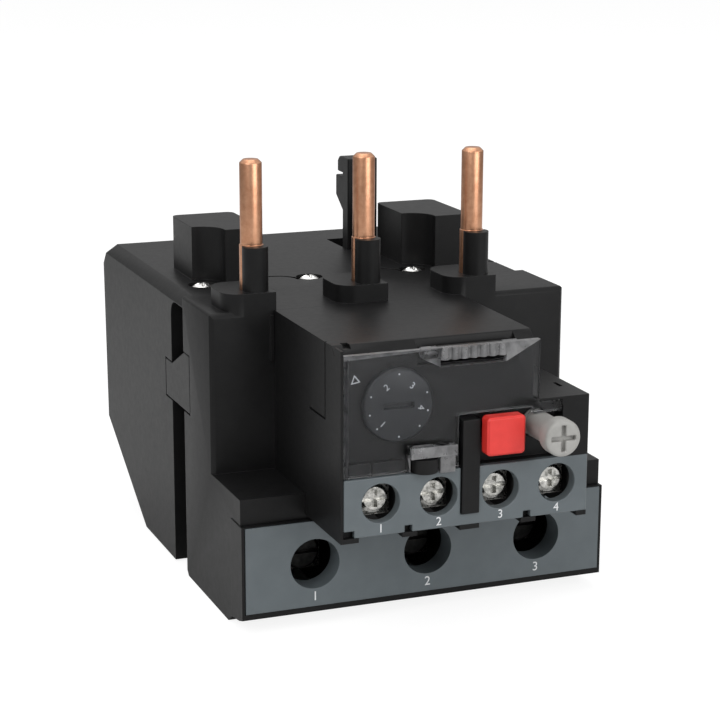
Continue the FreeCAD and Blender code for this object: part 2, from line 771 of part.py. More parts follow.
def heater(k):
    """The heater ribbon: a tab under the pin's tail, turns round the bimetal, a tab below."""
    name = f"heater_{k + 2}"
    x = pole_x(k)
    ribbon = []
    for turn in range(int(SIZES["heater_turns"])):
        low = f"heater_low + {turn} * heater_pitch"
        outer = slab(f"{name}_turn_{turn}", (f"{x} - heater_half_x", f"{x} + heater_half_x"),
                     ("bimetal_behind - heater_half_y", "bimetal_behind + heater_half_y"),
                     (low, f"{low} + heater_turn_height"))
        inner = slab(f"{name}_gap_{turn}",
                     (f"{x} - heater_half_x + heater_ribbon", f"{x} + heater_half_x - heater_ribbon"),
                     ("bimetal_behind - heater_half_y + heater_ribbon",
                      "bimetal_behind + heater_half_y - heater_ribbon"),
                     (low, f"{low} + heater_turn_height"))
        ribbon.append(carve(f"{name}_ring_{turn}", outer, [inner]))
    front = "bimetal_behind - heater_half_y"
    for turn in range(int(SIZES["heater_turns"]) - 1):
        low = f"heater_low + {turn} * heater_pitch + heater_turn_height"
        side = "bimetal_behind + heater_half_y - heater_ribbon" if turn % 2 else front
        ribbon.append(slab(f"{name}_link_{turn}", (f"{x} - heater_half_x", f"{x} + heater_half_x"),
                           (side, f"{side} + heater_ribbon"),
                           (low, f"{low} + heater_pitch - heater_turn_height")))
    ribbon.append(slab(f"{name}_riser", (f"{x} - heater_half_x", f"{x} + heater_half_x"),
                       (front, f"{front} + heater_ribbon"),
                       ("heater_high - heater_turn_height", "tab_low + heater_ribbon")))
    ribbon.append(slab(f"{name}_arm", (f"{x} - pin_offset - pin_screw_offset - 3", f"{x} + heater_half_x"),
                       (f"{front} - 5", f"{front} + heater_ribbon"), ("tab_low", "tab_low + heater_ribbon")))
    tab_x = (f"{screw_x(k)} - 2.4", f"{screw_x(k)} + 5")
    tab = slab(f"{name}_tab", tab_x, ("pin_screw_behind - 3", f"{front} - 4"), ("tab_low", "tail_low"))
    ribbon.append(carve(f"{name}_nut", tab,
                        [rod(f"{name}_thread", "z", (screw_x(k), "pin_screw_behind"),
                             "pin_screw_shank + play", ("tab_low", "tail_low"))]))
    ribbon.append(slab(f"{name}_drop", (f"{x} - heater_half_x", f"{x} + heater_half_x"),
                       (front, f"{front} + heater_ribbon"), ("bar_high", "heater_low")))
    ribbon.append(slab(f"{name}_foot", (f"{x} - heater_half_x", f"{x} + heater_half_x"),
                       ("load_bar_back - 4", f"{front} + heater_ribbon"), ("bar_high", "bar_high + heater_ribbon")))
    return node(join(name, ribbon), name)


def bimetal(k):
    """The strip that bends to the side as its heater warms it."""
    name = f"bimetal_{k + 2}"
    x = pole_x(k)
    corners = [("bimetal_behind - bimetal_width / 2", "carrier_low + 1.5"),
               ("bimetal_behind + bimetal_width / 2", "carrier_low + 1.5"),
               ("bimetal_behind + bimetal_width / 2", "slide_level - 2"),
               ("bimetal_behind + bimetal_width / 4", "slide_level - 1"),
               ("bimetal_behind + bimetal_width / 4", "bimetal_top"),
               ("bimetal_behind - bimetal_width / 4", "bimetal_top"),
               ("bimetal_behind - bimetal_width / 4", "slide_level - 1"),
               ("bimetal_behind - bimetal_width / 2", "slide_level - 2")]
    return node(padded(name, "YZ_Plane", corners,
                       (f"{x} - bimetal_thickness / 2", f"{x} + bimetal_thickness / 2")), name)


def bimetal_carrier():
    """The insulating bar that holds the bimetals' feet, on a rib across the rear housing."""
    block = slab("bimetal_carrier_block", ("-inner_half", "inner_half"),
                 ("bimetal_behind - carrier_depth / 2", "bimetal_behind + carrier_depth / 2"),
                 ("carrier_low", "carrier_high"))
    sockets = [slab(f"bimetal_socket_{k + 2}",
                    (f"{pole_x(k)} - bimetal_thickness / 2", f"{pole_x(k)} + bimetal_thickness / 2"),
                    ("bimetal_behind - bimetal_width / 2", "bimetal_behind + bimetal_width / 2"),
                    ("carrier_low + 1.5", "carrier_high")) for k in POLES]
    return node(carve("bimetal_carrier", block, sockets), "bimetal_carrier")


def load_bar(k):
    """The copper bar from the heater's foot forward and down into the terminal."""
    name = f"load_bar_{k + 2}"
    corners = [("load_bar_front", "-load_bar_drop"), ("bar_behind", "-load_bar_drop"),
               ("bar_behind", "bar_high - load_bar_thickness"),
               ("load_bar_back", "bar_high - load_bar_thickness"),
               ("load_bar_back", "bar_high"), ("load_bar_front", "bar_high")]
    return node(padded(name, "YZ_Plane", corners,
                       (f"{pole_x(k)} - load_bar_half", f"{pole_x(k)} + load_bar_half")), name)


def load_clamp(k):
    """The cage that the load screw draws forward, open above and below for the wire."""
    name = f"load_clamp_{k + 2}"
    x = pole_x(k)
    outer = slab(name + "_block", (f"{x} - cage_half_width", f"{x} + cage_half_width"),
                 ("cage_front", "cage_front + cage_length"), ("-cage_half_height", "cage_half_height"))
    tunnel = slab(name + "_tunnel",
                  (f"{x} - cage_half_width + cage_wall", f"{x} + cage_half_width - cage_wall"),
                  ("cage_front + cage_wall", "cage_front + cage_length - cage_wall"),
                  ("-cage_half_height", "cage_half_height"))
    thread = rod(name + "_thread", "y", (x, "0"), "load_screw_radius + play / 2",
                 ("cage_front", "cage_front + cage_wall"))
    return node(carve(name, outer, [tunnel, thread]), name)


def load_screw(k):
    """The slotted screw that stays in place while its cage travels."""
    name = f"load_screw_{k + 2}"
    back = "load_head_front + load_head_thickness"
    body = turned(name + "_body",
                  [("0", "load_head_front"), ("load_screw_head - 0.5", "load_head_front"),
                   ("load_screw_head", "load_head_front + 0.5"), ("load_screw_head", back),
                   ("load_screw_radius", back), ("load_screw_radius", "load_bar_front - play"),
                   ("0", "load_bar_front - play")])
    body.Placement = FreeCAD.Placement(FreeCAD.Vector(), AXES["y"])
    seat(body, pole_x(k), "0", "0")
    slot = slab(name + "_slot", (f"{pole_x(k)} - load_screw_head", f"{pole_x(k)} + load_screw_head"),
                ("load_head_front", "load_head_front + driver_slot_depth * 1.5"),
                ("-driver_slot / 2", "driver_slot / 2"))
    return node(carve(name, body, [slot]), name)


# ----------------------------------------------------------- terminal covers

def terminal_frame():
    """The black cover over the load terminals, which carries the grey plate."""
    corners = [("frame_front", "chin_level"), ("chin_front", "chin_level"),
               ("chin_front", "-chin_drop"), ("ledge_front + 0.9", "-frame_low - 0.7"),
               ("frame_front", "-frame_low")]
    block = padded("terminal_frame_block", "YZ_Plane", corners,
                   ("-half_width - frame_overhang", "half_width + frame_overhang"))
    tools = [slab("plate_seat", ("-plate_half_width - play", "plate_half_width + play"),
                  ("frame_front", "plate_thickness"),
                  ("-plate_half_height - play", "plate_half_height + play"))]
    for k in POLES:
        tools.append(rod(f"well_seat_{k + 2}", "y", (pole_x(k), "0"),
                         "bore_radius + bore_wall + play", ("0", "chin_front")))
    return node(carve("terminal_frame", block, tools), "terminal_frame")


def terminal_plate():
    """The grey marking plate; its bores guide the screwdriver to the load screws."""
    top = "plate_half_height"
    corners = [("-plate_half_width", "-plate_half_height"), ("plate_half_width", "-plate_half_height"),
               ("plate_half_width", top), ("control_right", top), ("control_right", "plate_notch_level"),
               ("-plate_notch_right + 2", "plate_notch_level"), ("-plate_notch_right + 2", top),
               ("-plate_half_width", top)]
    sheet = padded("terminal_sheet", "XZ_Plane", corners, ("0", "plate_thickness"))
    ease(sheet, "Fillet", "plate_notch_radius", "y",
         lambda p: near(p.x, "-plate_notch_right + 2") and near(p.z, top))
    wells = [rod(f"load_well_{k + 2}", "y", (pole_x(k), "0"), "bore_radius + bore_wall",
                 ("0", "bore_length")) for k in POLES]
    bores = [rod(f"load_bore_{k + 2}", "y", (pole_x(k), "0"), "bore_radius",
                 ("0", "bore_length")) for k in POLES]
    return node(carve("terminal_plate", join("terminal_plate_solid", [sheet] + wells), bores),
                "terminal_plate")


def control_terminal_plate():
    """The grey plate over the control terminals, notched round the centre strip."""
    face = ("-control_front", "control_plate_thickness - control_front")
    low = "control_plate_low"
    left = "side_lip + play - control_left"
    notch = "side_lip + plate_corner - control_left"
    corners = [(notch, low), ("control_right", low), ("control_right", "control_plate_high"),
               (left, "control_plate_high"), (left, f"{low} + plate_corner_height"),
               (notch, f"{low} + plate_corner_height")]
    sheet = padded("control_sheet", "XZ_Plane", corners, face)
    back = "well_length - control_front"
    wells = [rod(f"control_well_{n}", "y", (f"terminal_{n}", "terminal_level"),
                 "well_radius + well_wall", (face[0], back)) for n in TERMINALS]
    tools = [rod(f"control_bore_{n}", "y", (f"terminal_{n}", "terminal_level"),
                 "well_radius", (face[0], back)) for n in TERMINALS]
    tools.append(slab("strip_notch", ("-strip_left - play", "strip_right + play"), (face[0], back),
                      ("strip_low - play", "control_plate_high")))
    for n, left in enumerate(("-12.2", "12.0")):
        tools.append(slab(f"snap_notch_{n}", (left, f"{left} + 1.5"), face, (low, f"{low} + 1.3")))
    return node(carve("control_terminal_plate", join("control_plate_solid", [sheet] + wells), tools),
                "control_terminal_plate")


# ------------------------------------------------------------ control housing

def spring_seat():
    """The wall that the button springs push on, with ways under it for the contact strips."""
    wall = ("spring_seat_behind", "spring_seat_behind + spring_seat_wall")
    body = slab("spring_wall", ("stop_x - spring_seat_side", "reset_x + spring_seat_side"), wall,
                ("inner_floor - play", "button_bay_high"))
    ways = [slab(f"strip_way_{n}", (f"terminal_{n} - strip_neck - play", f"terminal_{n} + strip_neck + play"),
                 wall, ("inner_floor - play", "inner_floor + strip_thickness + play")) for n in (3, 4)]
    return carve("spring_seat", body, ways)


def control_housing():
    """The control unit's shell: tower on the left, low step on the right, open behind."""
    corners = [("-control_left", "control_low"), ("control_right", "control_low"),
               ("control_right", "step_level"), ("tower_right", "step_level"),
               ("tower_right", "top_level"), ("-control_left", "top_level")]
    shell = padded("control_shell", "XZ_Plane", corners, ("-control_front", "shoulder_front"))
    tools = [slab("ledge_rest", ("-control_left", "control_right"), ("ledge_front", "shoulder_front"),
                  ("control_low", "ledge_level")),
             slab("cover_bay", ("side_lip - control_left", "tower_right"), ("-control_front", "-front_wall_front"),
                  ("control_plate_high", "top_level")),
             slab("button_bay", ("cover_step_x", "button_bay_right"),
                  ("-control_front", "-front_wall_front"), ("control_plate_high", "button_bay_high")),
             slab("plate_bay", ("side_lip - control_left", "control_right"),
                  ("-control_front", "control_plate_thickness - control_front"),
                  ("control_plate_low", "control_plate_high")),
             slab("arm_bay", ("tower_right", "arm_right + play"), ("-control_front", "-front_wall_front"),
                  ("arm_low - 0.3", "arm_low + arm_height + play")),
             slab("inside_high", ("-inner_left", "tower_inner"), ("-front_wall_back", "shoulder_front"),
                  ("inner_floor", "top_level - control_wall")),
             slab("inside_low", ("tower_inner", "inner_right"), ("-front_wall_back", "shoulder_front"),
                  ("inner_floor", "step_level - control_wall")),
             padded("brow", "YZ_Plane",
                    [("-front_wall_front", "top_level"), ("-front_wall_front", "top_level - brow_chamfer"),
                     ("brow_chamfer - front_wall_front", "top_level")], ("-control_left", "tower_right")),
             slab("hinge_bay", ("-knuckle_left - 0.3", "knuckle_right + 0.3"),
                  ("-front_wall_front", "-front_wall_back - 0.4"),
                  ("slot_window_low", "top_level"))]
    for n in TERMINALS:
        x = f"terminal_{n}"
        tools.append(slab(f"cell_{n}", (f"{x} - cell_half", f"{x} + cell_half"),
                          ("-control_front", "-cell_back"), ("control_low", "cell_high")))
        tools.append(slab(f"strip_slot_{n}", (f"{x} - strip_neck", f"{x} + strip_neck"),
                          ("-contact_plate", "-contact_plate_back"), ("cell_high", "inner_floor")))
    tools.append(rod("dial_hole", "y", ("dial_x", "dial_level"), "dial_shaft + play / 2",
                     ("-front_wall_front", "-front_wall_back")))
    tools.append(rod("reset_bore", "y", ("reset_x", "reset_level"), "reset_hole",
                     ("-front_wall_front", "-front_wall_back")))
    tools.append(rod("stop_bore", "y", ("stop_x", "stop_level"), "stem_radius + play / 2",
                     ("-front_wall_front", "-front_wall_back")))
    tools.append(slab("test_slot", ("test_right - 2.2 - play", "test_right - 0.2 + play"),
                      ("-front_wall_front", "-front_wall_back"),
                      ("test_low + 1 - play", "test_low + 2 + play")))
    tools += [slab("tower_notch", ("notch_left - control_left", "notch_left + notch_width - control_left"),
                   ("-front_wall_front", "notch_length - front_wall_front"),
                   ("top_level - notch_depth", "top_level")),
              slab("step_notch", ("control_right - notch_left - notch_width / 2", "control_right - notch_left"),
                   ("step_notch_behind", "step_notch_behind + notch_length"),
                   ("step_level - notch_depth", "step_level"))]
    tools += tongue_groove()
    carved = carve("control_carved", shell, tools)
    extras = [slab("centre_strip", ("-strip_left", "strip_right"),
                   ("-control_front - strip_proud", "-front_wall_front"), ("strip_low", "strip_high")),
              rod("seal_post", "z", ("post_x", "-control_front"), "post_radius",
                  ("post_low", "post_low + post_height")),
              slab("post_root", ("post_x - post_radius", "post_x + post_radius"),
                   ("-control_front", "-front_wall_front"), ("post_low", "post_low + post_height")),
              slab("corner_block", ("side_lip - control_left + cover_rim + 0.4", "test_left - 0.3"),
                   ("-front_wall_front - test_proud", "-front_wall_front"),
                   ("test_low", "test_low + test_height")),
              rod("hinge_ear", "x", ("-hinge_behind", "hinge_level"), "knuckle_radius",
                  ("knuckle_end - knuckle_left + 0.2", "knuckle_right - knuckle_end - 0.2")),
              slab("hinge_root", ("knuckle_end - knuckle_left + 0.2", "knuckle_right - knuckle_end - 0.2"),
                   ("-hinge_behind", "-front_wall_back"),
                   ("hinge_level - knuckle_radius", "hinge_level"))]
    extras.append(spring_seat())
    whole = join("control_joined", [carved] + extras)
    return node(carve("control_housing", whole,
                      [rod("hinge_bore", "x", ("-hinge_behind", "hinge_level"), "hinge_pin + play / 2",
                           ("-knuckle_left", "knuckle_right"))]), "control_housing")


def tongue_groove():
    """The groove that frees a snap tongue in the tower's left wall."""
    depth = ("-control_left", "tongue_groove - control_left")
    down = slab("tongue_down", depth, ("-tongue_back", "tongue_groove - tongue_back"),
                ("tongue_low", "top_level"))
    across = slab("tongue_across", depth, ("-tongue_back", "tongue_length - tongue_back"),
                  ("tongue_low", "tongue_low + tongue_groove"))
    return [down, across]


def clear_cover():
    """The clear flap over the dial, hinged at its top edge, with its sealing lug below."""
    face = ("-control_front", "-cover_inner")
    left = "side_lip + play - control_left"
    corners = [(left, "cover_low"), ("cover_step_x", "cover_low"), ("cover_step_x", "cover_step_level"),
               ("cover_right", "cover_step_level"), ("cover_right", "cover_top"), (left, "cover_top")]
    sheet = padded("cover_sheet", "XZ_Plane", corners, face)
    rim = slab("cover_rim_left", (left, f"{left} + cover_rim"), ("-control_front", "-front_wall_front - play"),
               ("cover_low", "hinge_level"))
    arm = slab("cover_arm", ("cover_right - 1", "arm_right"), face, ("arm_low", "arm_low + arm_height"))
    arm_root = slab("cover_arm_root", ("cover_right - 1", "cover_right"), face,
                    ("arm_low", "cover_step_level + 1"))
    ends = []
    for name, low, high in (("left", "-knuckle_left", "knuckle_end - knuckle_left"),
                            ("right", "knuckle_right - knuckle_end", "knuckle_right")):
        ends.append(rod(f"knuckle_{name}", "x", ("-hinge_behind", "hinge_level"), "knuckle_radius",
                        (low, high)))
        ends.append(slab(f"knuckle_web_{name}", (low, high), ("-cover_inner - play", "-hinge_behind"),
                         ("hinge_level - knuckle_radius", "hinge_level + knuckle_radius / 2")))
    ribs = []
    for n in range(int(SIZES["grip_ribs"])):
        share = f"({n} + 0.5) / grip_ribs"
        x = (f"knuckle_end - knuckle_left + (knuckle_left + knuckle_right - 2 * knuckle_end)"
             f" * {share}")
        ribs.append(rod(f"grip_rib_{n + 1}", "z", (x, "grip_proud - control_front"), "grip_rib_radius",
                        ("slot_window_low + slot_window_height", "cover_top")))
    band = slab("lug_band", ("-lug_left", "-lug_right"), ("-control_front - lug_proud", face[0]),
                ("lug_band_low", "lug_band_high"))
    tab = slab("lug_tab", ("-lug_right - 3.6", "-lug_right"), ("-control_front - lug_wall", face[0]),
               ("lug_low", "lug_band_high"))
    whole = join("cover_joined", [sheet, rim, arm, arm_root, band, tab] + ends + ribs)
    tools = [slab("marker_window", ("knuckle_end - knuckle_left", "knuckle_right - knuckle_end"), face,
                  ("slot_window_low", "slot_window_low + slot_window_height")),
             slab("lug_eye", ("-lug_left + lug_wall", "-lug_right - 4.4"),
                  ("-control_front - lug_proud + lug_wall", face[0]), ("lug_band_low", "lug_band_high")),
             slab("post_notch", ("post_x - post_radius - 0.3", "post_x + post_radius + 0.3"),
                  ("-control_front - lug_proud", face[1]), ("lug_low - play", "lug_band_low")),
             rod("knuckle_bore", "x", ("-hinge_behind", "hinge_level"), "hinge_pin + play / 2",
                 ("-knuckle_left", "knuckle_right"))]
    return node(carve("clear_cover", whole, tools), "clear_cover")


def cover_hinge_pin():
    return node(rod("cover_hinge_pin", "x", ("-hinge_behind", "hinge_level"), "hinge_pin",
                    ("-knuckle_left", "knuckle_right")), "cover_hinge_pin")


# ----------------------------------------------------------- control terminals

def control_screw(n):
    """A combination-slot terminal screw with its captive washer's length of shank."""
    name = f"control_screw_{n}"
    x = f"terminal_{n}"
    front, back = "-head_front", "-head_back"
    body = turned(name + "_body",
                  [("0", front), ("head_radius - 0.6", front), ("head_radius", f"{front} + 0.6"),
                   ("head_radius", back), ("shank_radius", back),
                   ("shank_radius", f"{back} + shank_length"), ("0", f"{back} + shank_length")])
    body.Placement = FreeCAD.Placement(FreeCAD.Vector(), AXES["y"])
    seat(body, x, "0", "terminal_level")
    deep = (front, f"{front} + driver_slot_depth")
    flat = slab(name + "_slot", (f"{x} - head_radius", f"{x} + head_radius"), deep,
                ("terminal_level - driver_slot / 2", "terminal_level + driver_slot / 2"))
    cross = slab(name + "_cross", (f"{x} - driver_slot / 2", f"{x} + driver_slot / 2"), deep,
                 ("terminal_level - head_radius * 0.6", "terminal_level + head_radius * 0.6"))
    return node(carve(name, body, [flat, cross]), name)


def control_clamp(n):
    """The square washer that presses the wire on the contact strip."""
    name = f"control_clamp_{n}"
    x = f"terminal_{n}"
    plate = slab(name + "_plate", (f"{x} - washer_half", f"{x} + washer_half"),
                 ("-head_back", "-washer_back"),
                 ("terminal_level - washer_half", "terminal_level + washer_half"))
    hole = rod(name + "_hole", "y", (x, "terminal_level"), "shank_radius + play / 2",
               ("-head_back", "-washer_back"))
    return node(carve(name, plate, [hole]), name)


def contact_strip(n, leg):
    """A terminal's strip: threaded plate, run over the floor, leg with the contact tip."""
    name = f"contact_strip_{n}"
    x = f"terminal_{n}"
    face = ("-contact_plate", "-contact_plate_back")
    plate = slab(name + "_plate", (f"{x} - strip_half", f"{x} + strip_half"), face,
                 ("terminal_level - strip_half", "cell_high - play"))
    thread = rod(name + "_thread", "y", (x, "terminal_level"), "shank_radius + play / 2", face)
    neck = (f"{x} - strip_neck + play", f"{x} + strip_neck - play")
    riser = slab(name + "_riser", neck, face, ("cell_high - play", "inner_floor + strip_thickness"))
    run = slab(name + "_run", neck, (face[0], f"{leg} + strip_thickness"),
               ("inner_floor", "inner_floor + strip_thickness"))
    post = slab(name + "_leg", neck, (leg, f"{leg} + strip_thickness"),
                ("inner_floor", "contact_level + bridge_half_height"))
    if leg == "nc_leg_behind":
        tip_span = (f"{leg} + strip_thickness", "nc_tip_behind")
    else:
        tip_span = ("no_tip_front", leg)
    tip = rod(name + "_tip", "y", (x, "contact_level"), "contact_tip", tip_span)
    return node(join(name, [carve(name + "_nut", plate, [thread]), riser, run, post, tip]), name)


def contact_bridge(name, first, last, behind):
    return node(slab(name, (f"{first} - bridge_overlap", f"{last} + bridge_overlap"),
                     (behind, f"{behind} + bridge_thickness"),
                     ("contact_level - bridge_half_height", "contact_level + bridge_half_height")), name)


def contact_carrier():
    """The plastic bar that moves both contact bridges together."""
    bar = slab("carrier_bar", ("terminal_1 - 2", "terminal_4 + 2"),
               ("carrier_behind", "carrier_behind + carrier_bar_depth"),
               ("carrier_bar_low", "carrier_bar_low + carrier_bar_height"))
    pieces = [bar]
    for name, first, last in (("no", "terminal_1", "terminal_2"), ("nc", "terminal_3", "terminal_4")):
        middle = f"({first} + {last}) / 2"
        pieces.append(slab(f"carrier_finger_{name}",
                           (f"{middle} - carrier_finger / 2", f"{middle} + carrier_finger / 2"),
                           ("carrier_behind", "carrier_behind + bridge_thickness * 1.5"),
                           ("contact_level - bridge_half_height", "carrier_bar_low")))
    return node(join("contact_carrier", pieces), "contact_carrier")


# ------------------------------------------------------------- trip mechanism

def slide_bar(label, level, push_right):
    """A slide with a window for each bimetal's tip; one window edge lies close to it."""
    bar = slab(label + "_bar", ("-1.3 * pole_pitch", "1.3 * pole_pitch"),
               ("bimetal_behind - slide_front", "bimetal_behind + slide_back"),
               (level, f"{level} + slide_thickness"))
    near_side = "bimetal_thickness / 2 + slide_play"
    far_side = "bimetal_thickness / 2 + slide_play + slide_travel"
    windows = []
    for k in POLES:
        windows.append(slab(f"{label}_window_{k + 2}",
                            (f"{pole_x(k)} - ({far_side})", f"{pole_x(k)} + {near_side}"),
                            ("bimetal_behind - bimetal_width / 4 - slide_play",
                             "bimetal_behind + bimetal_width / 4 + slide_play"),
                            (level, f"{level} + slide_thickness")))
    if not push_right:
        return node(carve(label, bar, windows), label)
    finger = slab(label + "_finger", ("lever_x - lever_thickness / 2 - 3.4", "lever_x - lever_thickness / 2 - 0.4"),
                  ("bimetal_behind - slide_front - slide_finger", "bimetal_behind - slide_front"),
                  ("lever_level + 1", f"{level} + slide_thickness"))
    return node(join(label, [carve(label + "_cut", bar, windows), finger]), label)


def trip_lever():
    """The lever from the slide to the control unit, on an upright pivot."""
    high = "lever_level + lever_height"
    arm = slab("trip_lever_arm", ("lever_x - lever_thickness / 2", "lever_x + lever_thickness / 2"),
               ("lever_front", "bimetal_behind - slide_front - slide_finger / 2"), ("lever_level", high))
    hub = rod("trip_lever_hub", "z", ("lever_x", "lever_behind"), "lever_radius + 1.4", ("lever_level", high))
    bore = rod("trip_lever_bore", "z", ("lever_x", "lever_behind"), "lever_radius + play / 2",
               ("lever_level", high))
    return node(carve("trip_lever", join("trip_lever_solid", [arm, hub]), [bore]), "trip_lever")


def compensating_strip():
    """The bimetal leaf on the lever's side that cancels the room's warmth."""
    return node(slab("compensating_strip",
                     ("strip_face", "strip_face + 0.8"), ("lever_front", "lever_behind - 4"),
                     ("lever_level + 0.8", "lever_level + lever_height - 0.8")), "compensating_strip")


def lever_pivot():
    return node(rod("lever_pivot", "z", ("lever_x", "lever_behind"), "lever_radius",
                    ("deck_level", "top_under")), "lever_pivot")


def trip_rocker():
    """The rocker that the compensating strip turns to throw the contact carrier."""
    x, y = "rocker_x", "rocker_behind"
    toe_x, toe_y = f"{x} + rocker_reach", "carrier_behind - 0.9"
    nose_y = f"{y} + rocker_nose"
    arm, half = "rocker_arm", "rocker_arm / 2"
    level = ("rocker_low", "rocker_low + rocker_height")
    corners = [(f"{x} - {half}", y), (f"{toe_x} - {half}", f"{toe_y} - 0.6"),
               (f"{toe_x} + {half}", f"{toe_y} - 0.6"), (f"{toe_x} + {half}", f"{toe_y} + 0.6"),
               (f"{x} + {arm}", f"{y} + 1"), (f"{x} + {arm}", f"{nose_y} - {half}"),
               ("strip_face - 0.6", f"{nose_y} - {half}"), ("strip_face - 0.6", f"{nose_y} + {half}"),
               (x, f"{nose_y} + {half}")]
    arms = padded("trip_rocker_arms", "XY_Plane", corners, level)
    hub = rod("trip_rocker_hub", "z", (x, y), "rocker_radius + 1.2", level)
    toe = slab("trip_rocker_toe", (f"{toe_x} - {half}", f"{toe_x} + {half}"),
               (f"{toe_y} - 0.6", f"{toe_y} + 0.6"), ("carrier_bar_low", "rocker_low"))
    bore = rod("trip_rocker_bore", "z", (x, y), "rocker_radius + play / 2", level)
    return node(carve("trip_rocker", join("trip_rocker_solid", [hub, arms, toe]), [bore]), "trip_rocker")


def rocker_pivot():
    return node(rod("rocker_pivot", "z", ("rocker_x", "rocker_behind"), "rocker_radius",
                    ("inner_floor", "top_level - control_wall")), "rocker_pivot")


# ------------------------------------------------------------ dial and buttons

def setting_dial():
    """The current-setting dial, its shaft through the wall and its cam behind."""
    face, wall = "-dial_front", "-front_wall_front"
    body = turned("dial_body",
                  [("0", face), ("dial_radius - dial_chamfer", face),
                   ("dial_radius", f"{face} + dial_chamfer"), ("dial_radius", f"{wall} - play"),
                   ("dial_shaft", f"{wall} - play"), ("dial_shaft", f"{wall} + dial_shaft_length"),
                   ("0", f"{wall} + dial_shaft_length")])
    body.Placement = FreeCAD.Placement(FreeCAD.Vector(), AXES["y"])
    seat(body, "dial_x", "0", "dial_level")
    cam = rod("dial_cam", "y", ("dial_x + cam_throw", "dial_level"), "cam_radius",
              ("-front_wall_back + 0.4", "-front_wall_back + 0.4 + cam_thickness"))
    slot = slab("dial_slot", ("dial_x - dial_radius * 0.42", "dial_x + dial_radius * 0.42"),
                (face, f"{face} + 0.9"),
                ("dial_level - dial_slot / 2", "dial_level + dial_slot / 2"))
    return node(carve("setting_dial", join("dial_solid", [body, cam]), [slot]), "setting_dial")


FLANGE = ("play - front_wall_back", "play + flange_thickness - front_wall_back")


def stop_button():
    """The square red cap on its round stem, held in by a flange behind the wall."""
    half, rise = "stop_width / 2", "stop_height / 2"
    cap = padded("stop_cap", "XZ_Plane",
                 [(f"stop_x - {half}", f"stop_level - {rise}"), (f"stop_x + {half}", f"stop_level - {rise}"),
                  (f"stop_x + {half}", f"stop_level + {rise}"), (f"stop_x - {half}", f"stop_level + {rise}")],
                 ("-control_front - stop_proud", "-front_wall_front - stop_travel - 0.3"))
    ease(cap, "Fillet", "stop_corner", "y", lambda p: True)
    stem = rod("stop_stem", "y", ("stop_x", "stop_level"), "stem_radius",
               ("-front_wall_front - stop_travel - 0.3", "stem_end"))
    flange = rod("stop_flange", "y", ("stop_x", "stop_level"), "stem_radius + flange_step", FLANGE)
    return node(join("stop_button", [cap, stem, flange]), "stop_button")


def coil_spring(label, x, level, shaft):
    """A compression spring round a stem, from its flange back to the seat, swept along its helix."""
    start = "play + flange_thickness - front_wall_back + spring_wire / 2 + spring_gap"
    length = f"spring_seat_behind - spring_wire / 2 - spring_gap - ({start})"
    radius = f"{shaft} + spring_space + spring_wire / 2"
    helix = Part.makeLongHelix(value(f"({length}) / spring_turns"), value(length), value(radius))
    section = Part.Circle(FreeCAD.Vector(value(radius), 0, 0), FreeCAD.Vector(0, 1, 0),
                          value("spring_wire / 2"))
    spring = DOC.addObject("Part::Feature", label)
    spring.Shape = Part.Wire(helix.Edges).makePipeShell([Part.Wire(section.toShape())], True, True)
    spring.Placement = FreeCAD.Placement(FreeCAD.Vector(), AXES["y"])
    seat(spring, x, start, level)
    return node(spring, label)


def reset_parts():
    """The reset plunger inside, and the knob that turns on it outside."""
    plunger = rod("reset_plunger_body", "y", ("reset_x", "reset_level"), "reset_shaft",
                  ("-front_wall_front - 1", "stem_end"))
    flange = rod("reset_flange", "y", ("reset_x", "reset_level"), "reset_shaft + flange_step", FLANGE)
    pivot = rod("reset_pivot_bore", "y", ("reset_x", "reset_level"), "reset_pivot + play / 2",
                ("-front_wall_front - 1", "3 - front_wall_front"))
    node(carve("reset_plunger", join("reset_plunger_solid", [plunger, flange]), [pivot]), "reset_plunger")
    front = "-reset_front"
    knob = turned("reset_knob_body",
                  [("0", front), ("reset_head - 0.4", front), ("reset_head", f"{front} + 0.4"),
                   ("reset_head", f"{front} + reset_head_length"),
                   ("reset_shaft", f"{front} + reset_head_length + 0.9"),
                   ("reset_shaft", "-front_wall_front - 1.1"), ("reset_pivot", "-front_wall_front - 1.1"),
                   ("reset_pivot", "2.8 - front_wall_front"), ("0", "2.8 - front_wall_front")])
    knob.Placement = FreeCAD.Placement(FreeCAD.Vector(), AXES["y"])
    seat(knob, "reset_x", "0", "reset_level")
    depth = (front, f"{front} + reset_cross_depth")
    arms = [slab("reset_cross_flat", ("reset_x - reset_head * 0.7", "reset_x + reset_head * 0.7"), depth,
                 ("reset_level - reset_cross / 2", "reset_level + reset_cross / 2")),
            slab("reset_cross_up", ("reset_x - reset_cross / 2", "reset_x + reset_cross / 2"), depth,
                 ("reset_level - reset_head * 0.7", "reset_level + reset_head * 0.7"))]
    node(carve("reset_knob", knob, arms), "reset_knob")


def test_button():
    """The small ribbed key under the cover."""
    key = slab("test_key", ("test_left", "test_right"),
               ("-front_wall_front - test_proud", "-front_wall_front - test_travel - play"),
               ("test_low", "test_low + test_height"))
    stem = slab("test_stem", ("test_right - 2.2", "test_right - 0.2"),
                ("-front_wall_front - test_travel - play", "3 - front_wall_back"),
                ("test_low + 1", "test_low + 2"))
    return node(join("test_button", [key, stem]), "test_button")


# ---------------------------------------------------------------- all together

